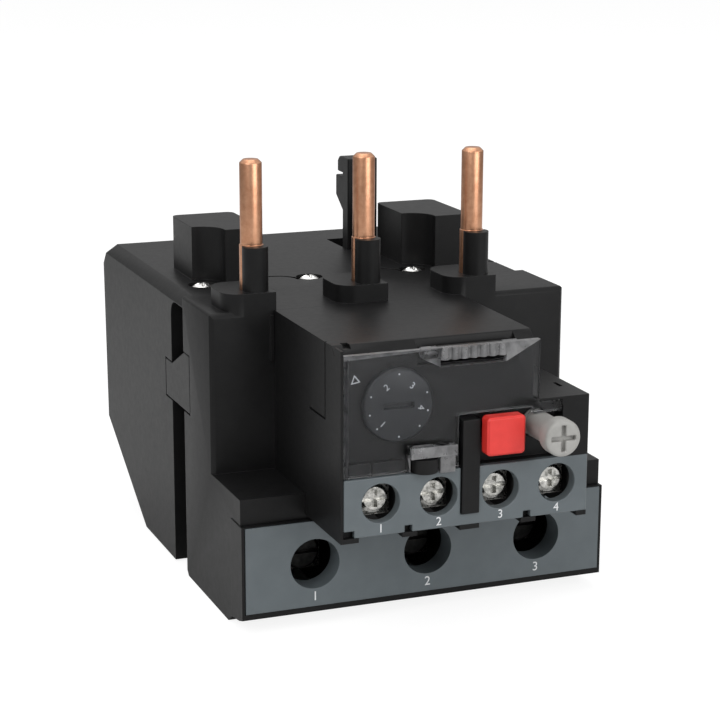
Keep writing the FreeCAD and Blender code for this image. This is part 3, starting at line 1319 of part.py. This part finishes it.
def build():
    fill_sheet()
    rear_housing()
    front_housing()
    control_housing()
    side_clip(-1, "left_clip")
    side_clip(1, "right_clip")
    contactor_hook()
    terminal_frame()
    terminal_plate()
    control_terminal_plate()
    for k in POLES:
        line_pin(k)
        heater(k)
        bimetal(k)
        load_bar(k)
        load_clamp(k)
        load_screw(k)
    pin_screws()
    bimetal_carrier()
    for n in TERMINALS:
        control_screw(n)
        control_clamp(n)
        contact_strip(n, "no_leg_behind" if n < 3 else "nc_leg_behind")
    contact_bridge("no_bridge", "terminal_1", "terminal_2", "no_bridge_behind")
    contact_bridge("nc_bridge", "terminal_3", "terminal_4", "nc_bridge_behind")
    contact_carrier()
    slide_bar("trip_slide", "slide_level", True)
    slide_bar("differential_slide", "slide_2_level", False)
    trip_lever()
    compensating_strip()
    lever_pivot()
    trip_rocker()
    rocker_pivot()
    setting_dial()
    clear_cover()
    cover_hinge_pin()
    stop_button()
    reset_parts()
    test_button()
    coil_spring("stop_spring", "stop_x", "stop_level", "stem_radius")
    coil_spring("reset_spring", "reset_x", "reset_level", "reset_shaft")



def check_and_write():
    DOC.recompute()
    for item in DOC.Objects:
        if "Invalid" in item.State or "Error" in item.State:
            raise RuntimeError(f"{item.Label} failed: {item.State}")
    for item in NODES:
        if item.Shape.isNull() or not item.Shape.isValid() or not item.Shape.Solids:
            raise RuntimeError(f"{item.Label} has no valid solid")
    os.makedirs("parts", exist_ok=True)
    for item in NODES:
        item.Shape.exportStep(os.path.join("parts", item.Label + ".step"))
        print(f"{item.Label}: {len(item.Shape.Solids)} solid, {item.Shape.Volume:.1f} mm3")


build()
check_and_write()
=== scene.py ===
import json
import math

import bmesh
import bpy
from mathutils import Matrix, Vector

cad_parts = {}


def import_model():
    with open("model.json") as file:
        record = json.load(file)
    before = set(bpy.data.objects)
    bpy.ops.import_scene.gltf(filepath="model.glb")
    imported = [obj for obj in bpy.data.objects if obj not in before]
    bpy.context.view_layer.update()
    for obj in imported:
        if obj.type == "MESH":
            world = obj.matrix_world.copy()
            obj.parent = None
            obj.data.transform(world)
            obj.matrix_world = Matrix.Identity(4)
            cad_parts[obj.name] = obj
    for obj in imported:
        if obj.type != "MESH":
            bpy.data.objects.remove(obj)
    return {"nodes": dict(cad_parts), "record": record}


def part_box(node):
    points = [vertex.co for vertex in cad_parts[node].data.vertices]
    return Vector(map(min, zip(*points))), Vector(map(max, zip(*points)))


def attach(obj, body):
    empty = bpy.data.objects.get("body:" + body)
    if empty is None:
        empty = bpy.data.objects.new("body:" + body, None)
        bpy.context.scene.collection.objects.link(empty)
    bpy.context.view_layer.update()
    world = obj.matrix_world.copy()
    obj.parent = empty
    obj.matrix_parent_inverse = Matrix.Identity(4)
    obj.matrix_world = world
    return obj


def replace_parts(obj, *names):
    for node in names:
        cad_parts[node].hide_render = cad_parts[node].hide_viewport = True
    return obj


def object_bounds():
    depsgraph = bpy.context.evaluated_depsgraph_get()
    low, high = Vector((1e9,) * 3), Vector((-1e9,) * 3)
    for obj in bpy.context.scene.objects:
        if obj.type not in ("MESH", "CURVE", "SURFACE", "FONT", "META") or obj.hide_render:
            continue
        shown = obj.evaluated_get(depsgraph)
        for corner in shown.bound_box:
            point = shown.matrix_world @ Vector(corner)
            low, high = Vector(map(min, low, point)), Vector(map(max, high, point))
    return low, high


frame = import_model()
CAD_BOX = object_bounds()
NODES = frame["nodes"]
MM = 0.001

# Surfaces: the angle over which an edge is bevelled, under which it is shaded smooth, and under which two
# facets count as one flat face.
SHARP = math.radians(35)
SMOOTH = math.radians(28)
FLAT = math.radians(0.6)
WELD = 0.002 * MM

# The clear flap's faces that carry the painted highlight, in millimetres: how wide its rim is, where its
# hinge lies (left, right, down from its top) and where its finger lug lies (left, right, top). Larger facets
# are never part of the hinge or the lug.
RIM = 1.3 * MM
HINGE = (-8.4, 10.9, 4.6)
LUG = (-11.8, -2.6, 27.0)
SMALL_FACE = 14 * MM * MM

# The bevel on each piece's sharp edges, in millimetres, and the body of each piece that isn't on the base.
SOFT = {"rear_housing": 0.3, "front_housing": 0.25, "control_housing": 0.22, "terminal_frame": 0.25,
        "terminal_plate": 0.12, "control_terminal_plate": 0.12, "left_clip": 0.15, "right_clip": 0.15,
        "contactor_hook": 0.2, "stop_button": 0.4, "reset_knob": 0.25, "setting_dial": 0.1,
        "line_pin_1": 0.3, "line_pin_2": 0.3, "line_pin_3": 0.3, "test_button": 0.15}
RIDES = {"stop_button": "stop", "reset_knob": "reset_head", "setting_dial": "dial", "test_button": "test"}

# Printing, in millimetres and degrees: the dial (x, z, y of its face), the pointer (x, z, size) and the rows
# of terminal numbers (name, centres, y, z, height). FRONT_OF_ALL is a y ahead of the whole part, in metres.
PRINT_DEPTH = 0.02
TEXT_SIZE = 1.38
DIAL = (-13.0, 34.5, -15.82)
NUMBER_RING, NUMBER_HEIGHT = 4.4, 1.3
NUMBER_ANGLES = (225, 124, 54, -9)
DOT_RING, DOT_HEIGHT = 5.9, 1.0
DOT_ANGLES = (159, 193, 223, 270, 314, -14, 20, 90)
TERMINAL_ROWS = (("load_number", (-23.5, 0.0, 23.5), -0.02, -6.6, 1.9),
                 ("control_number", (-17.0, -5.4, 7.2, 18.9), -17.42, 11.8, 1.7))
POINTER = (-21.0, 39.6, 1.1)
POINTER_CORNERS = (-20, 100, 220)
POINTER_INSIDE = 0.62
FRONT_OF_ALL = -0.2

# The head of a pin screw: its dome's height, the distance within which points are of one screw, and its
# cross recess as shares of the radius and of that height.
HEAD_RISE = 1.1 * MM
HEAD_SPAN = 7 * MM
RECESS_LENGTH, RECESS_WIDTH, RECESS_DEPTH = 0.62, 0.14, 0.5

# Camera: its lens and sensor in millimetres, its place in metres and its axes.
LENS, SENSOR = 101.58, 36.0
CAMERA_PLACE = (-0.15026, -0.34633, 0.13245)
CAMERA_RIGHT = (0.93115, -0.36461, 0.00268)
CAMERA_UP = (0.08596, 0.22667, 0.97017)
CAMERA_BACK = (-0.35434, -0.90315, 0.24241)

# Stage, in metres and watts: the light all round, the share of the floor that is light for the camera alone,
# the floor that the part hides (centre x, centre y, half width, half depth), and the lamps (name, place,
# side, power).
AMBIENT = 0.42
FLOOR_LIFT = 0.72
UNDER = (0.0, 0.034, 0.032, 0.026)
LAMP_AIM = (0, 0.03, 0.03)
LAMPS = (("key", (-0.75, -0.55, 0.85), 0.7, 6.2),
         ("front", (0.45, -0.95, 0.45), 0.8, 6.6),
         ("top", (0.0, 0.25, 1.1), 0.9, 4.4))


# ---------------------------------------------------------------- materials

class Shader:
    """A material under construction: its node tree, its surface shader and a few short ways to wire it."""

    def __init__(self, name):
        self.material = bpy.data.materials.new(name)
        self.material.use_nodes = True
        self.tree = self.material.node_tree
        self.bsdf = self.tree.nodes["Principled BSDF"]
        self.place = self.tree.nodes.new("ShaderNodeTexCoord").outputs["Object"]

    def set(self, **values):
        for name, value in values.items():
            self.bsdf.inputs[name.replace("_", " ")].default_value = value
        return self

    def add(self, kind, **settings):
        node = self.tree.nodes.new("ShaderNode" + kind)
        for name, value in settings.items():
            setattr(node, name, value)
        return node

    def link(self, source, target):
        self.tree.links.new(source, target)

    def noise(self, per_mm, detail=3.0, roughness=0.55, stretch=(1, 1, 1)):
        """Noise with so many cells to a millimetre, drawn out along an axis if asked."""
        mapping = self.add("Mapping")
        mapping.inputs["Scale"].default_value = [per_mm / MM * k for k in stretch]
        texture = self.add("TexNoise")
        texture.inputs["Scale"].default_value = 1.0
        texture.inputs["Detail"].default_value = detail
        texture.inputs["Roughness"].default_value = roughness
        self.link(self.place, mapping.inputs["Vector"])
        self.link(mapping.outputs["Vector"], texture.inputs["Vector"])
        return texture.outputs["Fac"]

    def ramp(self, source, stops):
        ramp = self.add("ValToRGB")
        for element, (at, colour) in zip(ramp.color_ramp.elements, stops):
            element.position = at
            element.color = (*colour, 1.0)
        self.link(source, ramp.inputs["Fac"])
        return ramp.outputs["Color"]

    def span(self, source, low, high):
        node = self.add("MapRange")
        node.inputs["To Min"].default_value = low
        node.inputs["To Max"].default_value = high
        self.link(source, node.inputs["Value"])
        return node.outputs["Result"]

    def mottle(self, dark, light, per_mm):
        colour = self.ramp(self.noise(per_mm), ((0.3, dark), (0.72, light)))
        self.link(colour, self.bsdf.inputs["Base Color"])
        return self

    def rough(self, low, high, per_mm, stretch=(1, 1, 1)):
        self.link(self.span(self.noise(per_mm, stretch=stretch), low, high), self.bsdf.inputs["Roughness"])
        return self

    def grain(self, per_mm, depth_mm, soft_edge_mm=0.0, stretch=(1, 1, 1)):
        """A fine bump over the surface, with edges softened by a small radius."""
        bump = self.add("Bump")
        bump.inputs["Strength"].default_value = 1.0
        bump.inputs["Distance"].default_value = depth_mm * MM
        self.link(self.noise(per_mm, 2.0, stretch=stretch), bump.inputs["Height"])
        if soft_edge_mm:
            edge = self.add("Bevel", samples=6)
            edge.inputs["Radius"].default_value = soft_edge_mm * MM
            self.link(edge.outputs["Normal"], bump.inputs["Normal"])
        self.link(bump.outputs["Normal"], self.bsdf.inputs["Normal"])
        return self


def black_plastic():
    shader = Shader("black_plastic").set(Specular_IOR_Level=0.16)
    shader.mottle((0.0058, 0.0058, 0.0060), (0.0076, 0.0076, 0.0078), 0.35)
    return shader.rough(0.36, 0.46, 0.8).grain(5.0, 0.0010, 0.2).material


def grey_plastic():
    shader = Shader("grey_plastic").set(Specular_IOR_Level=0.4)
    shader.mottle((0.086, 0.102, 0.110), (0.098, 0.115, 0.124), 0.25)
    return shader.rough(0.36, 0.46, 0.8).grain(5.0, 0.0016, 0.15).material


def dial_plastic():
    shader = Shader("dial_plastic").set(Specular_IOR_Level=0.4)
    shader.mottle((0.011, 0.0125, 0.0145), (0.014, 0.0155, 0.0175), 0.5)
    return shader.rough(0.34, 0.44, 0.9).grain(6.0, 0.001, 0.15).material


def clear_plastic():
    shader = Shader("clear_plastic").set(Transmission_Weight=1.0, IOR=1.26, Specular_IOR_Level=0.5)
    shader.mottle((0.80, 0.81, 0.83), (0.84, 0.85, 0.87), 0.2)
    return shader.rough(0.03, 0.06, 0.5).material


def clear_edge():
    """The clear flap's moulded rim: a paler, rougher, part-diffuse copy of the clear plastic, painted
    highlight for the light that catches its edges.
    """
    shader = Shader("clear_edge").set(Transmission_Weight=0.30, IOR=1.42, Specular_IOR_Level=0.5)
    shader.mottle((0.10, 0.10, 0.103), (0.27, 0.27, 0.275), 0.5)
    return shader.rough(0.22, 0.36, 0.6).grain(1.5, 0.002, 0.15).material


def metal(name, dark, light, low, high, per_mm, depth, stretch=(1, 1, 1)):
    shader = Shader(name).set(Metallic=1.0)
    shader.mottle(dark, light, per_mm)
    return shader.rough(low, high, per_mm * 2, stretch).grain(per_mm * 3, depth, 0.12, stretch).material


def coloured_plastic(name, dark, light, low, high):
    shader = Shader(name).set(Specular_IOR_Level=0.45)
    shader.mottle(dark, light, 0.4)
    return shader.rough(low, high, 1.0).grain(5.0, 0.004, 0.2).material


def print_ink():
    shader = Shader("print_ink").set(Specular_IOR_Level=0.3)
    shader.mottle((0.56, 0.57, 0.58), (0.66, 0.67, 0.68), 2.0)
    return shader.rough(0.5, 0.6, 2.0).grain(12.0, 0.003).material


# For each metal: its dark and light colour, its least and greatest roughness, the cells of its mottle to a
# millimetre and the depth of its grain. ALONG draws the grain out along Z.
ALONG = (1, 1, 0.06)
METALS = {
    "copper": ((0.48, 0.235, 0.135), (0.60, 0.325, 0.20), 0.26, 0.40, 0.9, 0.004, ALONG),
    "zinc_steel": ((0.20, 0.20, 0.185), (0.66, 0.65, 0.62), 0.20, 0.36, 1.3, 0.004),
    "bright_zinc": ((0.80, 0.79, 0.76), (0.94, 0.93, 0.91), 0.24, 0.40, 1.3, 0.003),
    # painted shade: a near-black copy of steel for the load screws, standing in for the shade in their wells
    "shaded_steel": ((0.009, 0.009, 0.009), (0.022, 0.022, 0.021), 0.30, 0.44, 0.9, 0.003),
    "contact_brass": ((0.70, 0.52, 0.26), (0.80, 0.62, 0.34), 0.28, 0.42, 0.9, 0.003),
    "heater_ribbon": ((0.40, 0.36, 0.32), (0.52, 0.47, 0.42), 0.36, 0.5, 0.9, 0.003),
    "bimetal_steel": ((0.50, 0.50, 0.49), (0.62, 0.61, 0.59), 0.28, 0.42, 0.9, 0.003, ALONG),
    "spring_steel": ((0.52, 0.52, 0.52), (0.64, 0.64, 0.64), 0.22, 0.34, 0.9, 0.002),
}
# For each coloured plastic: its dark and light colour, and its least and greatest roughness.
PLASTICS = {
    "red_plastic": ((0.60, 0.026, 0.020), (0.66, 0.034, 0.027), 0.36, 0.46),
    "light_plastic": ((0.275, 0.272, 0.258), (0.325, 0.320, 0.305), 0.38, 0.5),
    "inner_plastic": ((0.55, 0.52, 0.45), (0.62, 0.59, 0.52), 0.42, 0.54),
}
MATERIALS = {
    "black_plastic": black_plastic(),
    "grey_plastic": grey_plastic(),
    "dial_plastic": dial_plastic(),
    "clear_plastic": clear_plastic(),
    "clear_edge": clear_edge(),
    "ink": print_ink(),
}
MATERIALS.update((name, metal(name, *values)) for name, values in METALS.items())
MATERIALS.update((name, coloured_plastic(name, *values)) for name, values in PLASTICS.items())

# Painted shade: the load screws lie deep in their wells and look nearly black, so they get a near-black copy
# of steel in place of their own slot.
for part in frame["record"]["subparts"]:
    NODES[part["node"]].data.materials.clear()
    finish_or_shade = "shaded_steel" if part["node"].startswith("load_screw") else part["material_slot"]
    NODES[part["node"]].data.materials.append(MATERIALS[finish_or_shade])


# ---------------------------------------------------------------- stage, light and camera

def away_from_underside(shader):
    """0 on the floor that the part covers, 1 beyond it."""
    centre_x, centre_y, half_x, half_y = UNDER
    axes = shader.add("SeparateXYZ")
    shader.link(shader.place, axes.inputs["Vector"])
    beyond = shader.add("Math", operation="MAXIMUM")
    for slot, (axis, centre, half) in enumerate((("X", centre_x, half_x), ("Y", centre_y, half_y))):
        offset = shader.add("Math", operation="SUBTRACT")
        offset.inputs[1].default_value = centre
        distance = shader.add("Math", operation="ABSOLUTE")
        over = shader.add("Math", operation="GREATER_THAN")
        over.inputs[1].default_value = half
        shader.link(axes.outputs[axis], offset.inputs[0])
        shader.link(offset.outputs[0], distance.inputs[0])
        shader.link(distance.outputs[0], over.inputs[0])
        shader.link(over.outputs[0], beyond.inputs[slot])
    return beyond.outputs[0]


def stage_material(name, colour, lift):
    """Pale and plain. Part of it is light for the camera alone, so it stays white and keeps its shadow."""
    shader = Shader(name).set(Roughness=0.9, Specular_IOR_Level=0.1)
    shader.mottle(colour, colour, 0.01)
    emission = shader.add("Emission")
    emission.inputs["Color"].default_value = (1, 1, 1, 1)
    emission.inputs["Strength"].default_value = 1.2
    mix = shader.add("MixShader")
    seen = shader.add("LightPath").outputs["Is Camera Ray"]
    share = shader.add("Math", operation="MULTIPLY")
    shader.link(shader.span(away_from_underside(shader), 0.0, lift), share.inputs[1])
    shader.link(seen, share.inputs[0])
    shader.link(share.outputs[0], mix.inputs[0])
    shader.link(shader.bsdf.outputs[0], mix.inputs[1])
    shader.link(emission.outputs[0], mix.inputs[2])
    shader.link(mix.outputs[0], shader.tree.nodes["Material Output"].inputs["Surface"])
    return shader.material


def floor():
    lowest = CAD_BOX[0].z
    bpy.ops.mesh.primitive_plane_add(size=6.0, location=(0, 0, lowest))
    plane = bpy.context.object
    plane.name = "floor"
    plane.data.materials.append(stage_material("floor_paint", (0.86, 0.86, 0.86), FLOOR_LIFT))


def world():
    """White for the camera and through clear plastic. Reflections see a studio, bright above, dim below."""
    made = bpy.data.worlds.new("studio")
    made.use_nodes = True
    bpy.context.scene.world = made
    nodes, links = made.node_tree.nodes, made.node_tree.links
    background = nodes["Background"]
    background.inputs["Color"].default_value = (1, 1, 1, 1)
    path = nodes.new("ShaderNodeLightPath")
    direct = nodes.new("ShaderNodeMath")
    direct.operation = "MAXIMUM"
    links.new(path.outputs["Is Camera Ray"], direct.inputs[0])
    links.new(path.outputs["Is Transmission Ray"], direct.inputs[1])
    axes = nodes.new("ShaderNodeSeparateXYZ")
    links.new(nodes.new("ShaderNodeTexCoord").outputs["Generated"], axes.inputs["Vector"])
    sky = nodes.new("ShaderNodeMapRange")
    sky.interpolation_type = "SMOOTHSTEP"
    for name, value in (("From Min", -0.1), ("From Max", 0.7), ("To Min", 0.22), ("To Max", 1.0)):
        sky.inputs[name].default_value = value
    links.new(axes.outputs["Z"], sky.inputs["Value"])
    studio = nodes.new("ShaderNodeMix")
    studio.inputs["A"].default_value = AMBIENT
    links.new(path.outputs["Is Glossy Ray"], studio.inputs["Factor"])
    links.new(sky.outputs["Result"], studio.inputs["B"])
    strength = nodes.new("ShaderNodeMix")
    strength.inputs["B"].default_value = 1.0
    links.new(direct.outputs[0], strength.inputs["Factor"])
    links.new(studio.outputs["Result"], strength.inputs["A"])
    links.new(strength.outputs["Result"], background.inputs["Strength"])


def lamp(name, place, size, watts):
    """A square area lamp that looks at the object."""
    data = bpy.data.lights.new(name, "AREA")
    data.shape = "RECTANGLE"
    data.size = data.size_y = size
    data.energy = watts
    obj = bpy.data.objects.new(name, data)
    bpy.context.scene.collection.objects.link(obj)
    obj.location = place
    obj.rotation_mode = "QUATERNION"
    obj.rotation_quaternion = (Vector(LAMP_AIM) - Vector(place)).to_track_quat("-Z", "Y")


def camera():
    """The photograph's view, found from the object's own right angles."""
    data = bpy.data.cameras.new("camera")
    data.lens = LENS
    data.sensor_width = SENSOR
    data.clip_start, data.clip_end = 0.01, 20.0
    obj = bpy.data.objects.new("camera", data)
    bpy.context.scene.collection.objects.link(obj)
    turn = Matrix((CAMERA_RIGHT, CAMERA_UP, CAMERA_BACK)).transposed()
    obj.matrix_world = Matrix.Translation(CAMERA_PLACE) @ turn.to_4x4()
    bpy.context.scene.camera = obj


# ---------------------------------------------------------------- pieces

def piece(name, mesh, slot, body):
    """A new piece of the visual model, in a material and on a body."""
    obj = bpy.data.objects.new(name, mesh)
    bpy.context.scene.collection.objects.link(obj)
    mesh.materials.clear()
    mesh.materials.append(MATERIALS[slot])
    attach(obj, body)
    return obj


def softened(node, width, slot, body, join=True):
    """A copy of a CAD piece with its flat facets joined and its sharp edges broken by a real bevel."""
    source = NODES[node]
    shape = bmesh.new()
    shape.from_mesh(source.data)
    shape.transform(source.matrix_world)
    bmesh.ops.remove_doubles(shape, verts=shape.verts, dist=WELD)
    if join:
        bmesh.ops.dissolve_limit(shape, angle_limit=FLAT, verts=shape.verts, edges=shape.edges)
    sharp = [e for e in shape.edges if e.is_manifold and e.calc_face_angle(0) > SHARP]
    bmesh.ops.bevel(shape, geom=sharp, offset=width * MM, offset_type="OFFSET", segments=1, profile=0.5,
                    affect="EDGES", clamp_overlap=True)
    for face in shape.faces:
        face.smooth = True
    for edge in shape.edges:
        edge.smooth = edge.is_manifold and edge.calc_face_angle(0) < SMOOTH
    mesh = bpy.data.meshes.new(node + "_soft")
    shape.to_mesh(mesh)
    shape.free()
    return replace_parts(piece(node + "_soft", mesh, slot, body), node)


def frosted(middle, low, high, small):
    """Whether a face of the flap is in its left rim, top edge, hinge or finger lug, the faces that carry the
    painted highlight.
    """
    if middle.x < low.x + RIM or middle.z > high.z - 0.5 * RIM:
        return True
    in_hinge = HINGE[0] * MM < middle.x < HINGE[1] * MM and middle.z > high.z - HINGE[2] * MM
    in_lug = LUG[0] * MM < middle.x < LUG[1] * MM and middle.z < LUG[2] * MM
    return small and (in_hinge or in_lug)


def cover():
    """The clear flap, with its left rim and top edge given a paler finish: painted highlight for the light
    that runs along them.
    """
    flap = softened("clear_cover", 0.12, "clear_plastic", "cover", join=False)
    low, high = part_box("clear_cover")
    flap.data.materials.append(MATERIALS["clear_edge"])
    for face in flap.data.polygons:
        if frosted(face.center, low, high, face.area < SMALL_FACE):
            face.material_index = 1


def lettering(name, text, x, y, z, height, body, turn=0.0):
    """Raised printing on a face that looks to the front: a thin solid, centred on its point."""
    curve = bpy.data.curves.new(name, "FONT")
    curve.body = text
    curve.size = height * MM * TEXT_SIZE
    curve.extrude = PRINT_DEPTH * MM
    curve.align_x, curve.align_y = "CENTER", "CENTER"
    made = bpy.data.objects.new(name + "_line", curve)
    bpy.context.scene.collection.objects.link(made)
    bpy.context.view_layer.update()
    mesh = bpy.data.meshes.new_from_object(made)
    bpy.data.objects.remove(made)
    upright = Matrix.Rotation(math.radians(90), 4, "X") @ Matrix.Rotation(turn, 4, "Z")
    mesh.transform(Matrix.Translation(Vector((x, y, z)) * MM) @ upright)
    return piece(name, mesh, "ink", body)


def dial_ring(name, texts, angles, radius, height, upright):
    """Marks in a ring on the dial. Upright ones stay so, and the others turn with the ring."""
    centre_x, centre_z, face = DIAL
    for n, (text, degrees) in enumerate(zip(texts, angles), 1):
        turn = math.radians(degrees)
        lettering(f"{name}_{n}", text, centre_x + radius * math.cos(turn), face,
                  centre_z + radius * math.sin(turn), height, "dial", 0.0 if upright else turn - math.pi / 2)


def dial_marks():
    """A ring of plain numerals and dots on the dial."""
    dial_ring("dial_number", "1234", NUMBER_ANGLES, NUMBER_RING, NUMBER_HEIGHT, False)
    dial_ring("dial_dot", "\u2022" * len(DOT_ANGLES), DOT_ANGLES, DOT_RING, DOT_HEIGHT, True)


def pointer():
    """A plain outlined triangle beside the dial, on the housing behind the flap."""
    x, z, size = (value * MM for value in POINTER)
    housing = NODES["control_housing"]
    to_part = housing.matrix_world.inverted()
    hit, place, _, _ = housing.ray_cast(to_part @ Vector((x, FRONT_OF_ALL, z)), (0, 1, 0))
    y = (housing.matrix_world @ place).y if hit else DIAL[2] * MM
    outline = bmesh.new()
    y -= PRINT_DEPTH * MM
    corners = [(math.cos(math.radians(a)), math.sin(math.radians(a))) for a in POINTER_CORNERS]
    rings = [[outline.verts.new((x + reach * across, y, z + reach * up)) for across, up in corners]
             for reach in (size, POINTER_INSIDE * size)]
    for k in range(3):
        outline.faces.new((rings[0][k], rings[0][k - 1], rings[1][k - 1], rings[1][k]))
    mesh = bpy.data.meshes.new("dial_pointer")
    outline.to_mesh(mesh)
    outline.free()
    piece("dial_pointer", mesh, "ink", "base")


def head_dome(radius, rise, steps=44):
    """The rounded top of a screw head, with a cross recess for the driver."""
    shape = bmesh.new()
    bmesh.ops.create_grid(shape, x_segments=steps, y_segments=steps, size=radius)
    for vert in shape.verts:
        distance = math.hypot(vert.co.x, vert.co.y)
        if distance > radius:
            vert.co *= radius / distance
        near, far = sorted((abs(vert.co.x), abs(vert.co.y)))
        in_recess = far < RECESS_LENGTH * radius and near < RECESS_WIDTH * radius
        recess = RECESS_DEPTH * rise if in_recess else 0.0
        vert.co.z = rise * (1 - min(distance / radius, 1) ** 2) - recess
    mesh = bpy.data.meshes.new("head_dome")
    shape.to_mesh(mesh)
    shape.free()
    return mesh


def heads(places):
    """The points of a mesh, sorted into its separate screws."""
    while places:
        yield [place for place in places if (place - places[0]).xy.length < HEAD_SPAN]
        places = [place for place in places if (place - places[0]).xy.length >= HEAD_SPAN]


def pin_screws():
    """The screws beside the pins, with bright domed heads."""
    screws = softened("pin_screws", 0.1, "bright_zinc", "base")
    shape = bmesh.new()
    for head in heads([vert.co.copy() for vert in screws.data.vertices]):
        xs, ys = [place.x for place in head], [place.y for place in head]
        dome = head_dome((max(xs) - min(xs)) / 2, HEAD_RISE)
        top = max(place.z for place in head)
        dome.transform(Matrix.Translation(((max(xs) + min(xs)) / 2, (max(ys) + min(ys)) / 2, top)))
        shape.from_mesh(dome)
    for face in shape.faces:
        face.smooth = True
    shape.from_mesh(screws.data)
    shape.to_mesh(screws.data)
    shape.free()


def terminal_numbers():
    """Plain numerals under the load wells and the control wells."""
    for name, centres, y, z, height in TERMINAL_ROWS:
        for n, x in enumerate(centres, 1):
            lettering(f"{name}_{n}", str(n), x, y, z, height, "base")


bpy.context.scene.view_settings.view_transform = "Standard"
floor()
world()
camera()
for lamp_values in LAMPS:
    lamp(*lamp_values)
terminal_numbers()
dial_marks()
pointer()
pin_screws()
cover()
slots = {part["node"]: part["material_slot"] for part in frame["record"]["subparts"]}
for node, width in SOFT.items():
    softened(node, width, slots[node], RIDES.get(node, "base"))
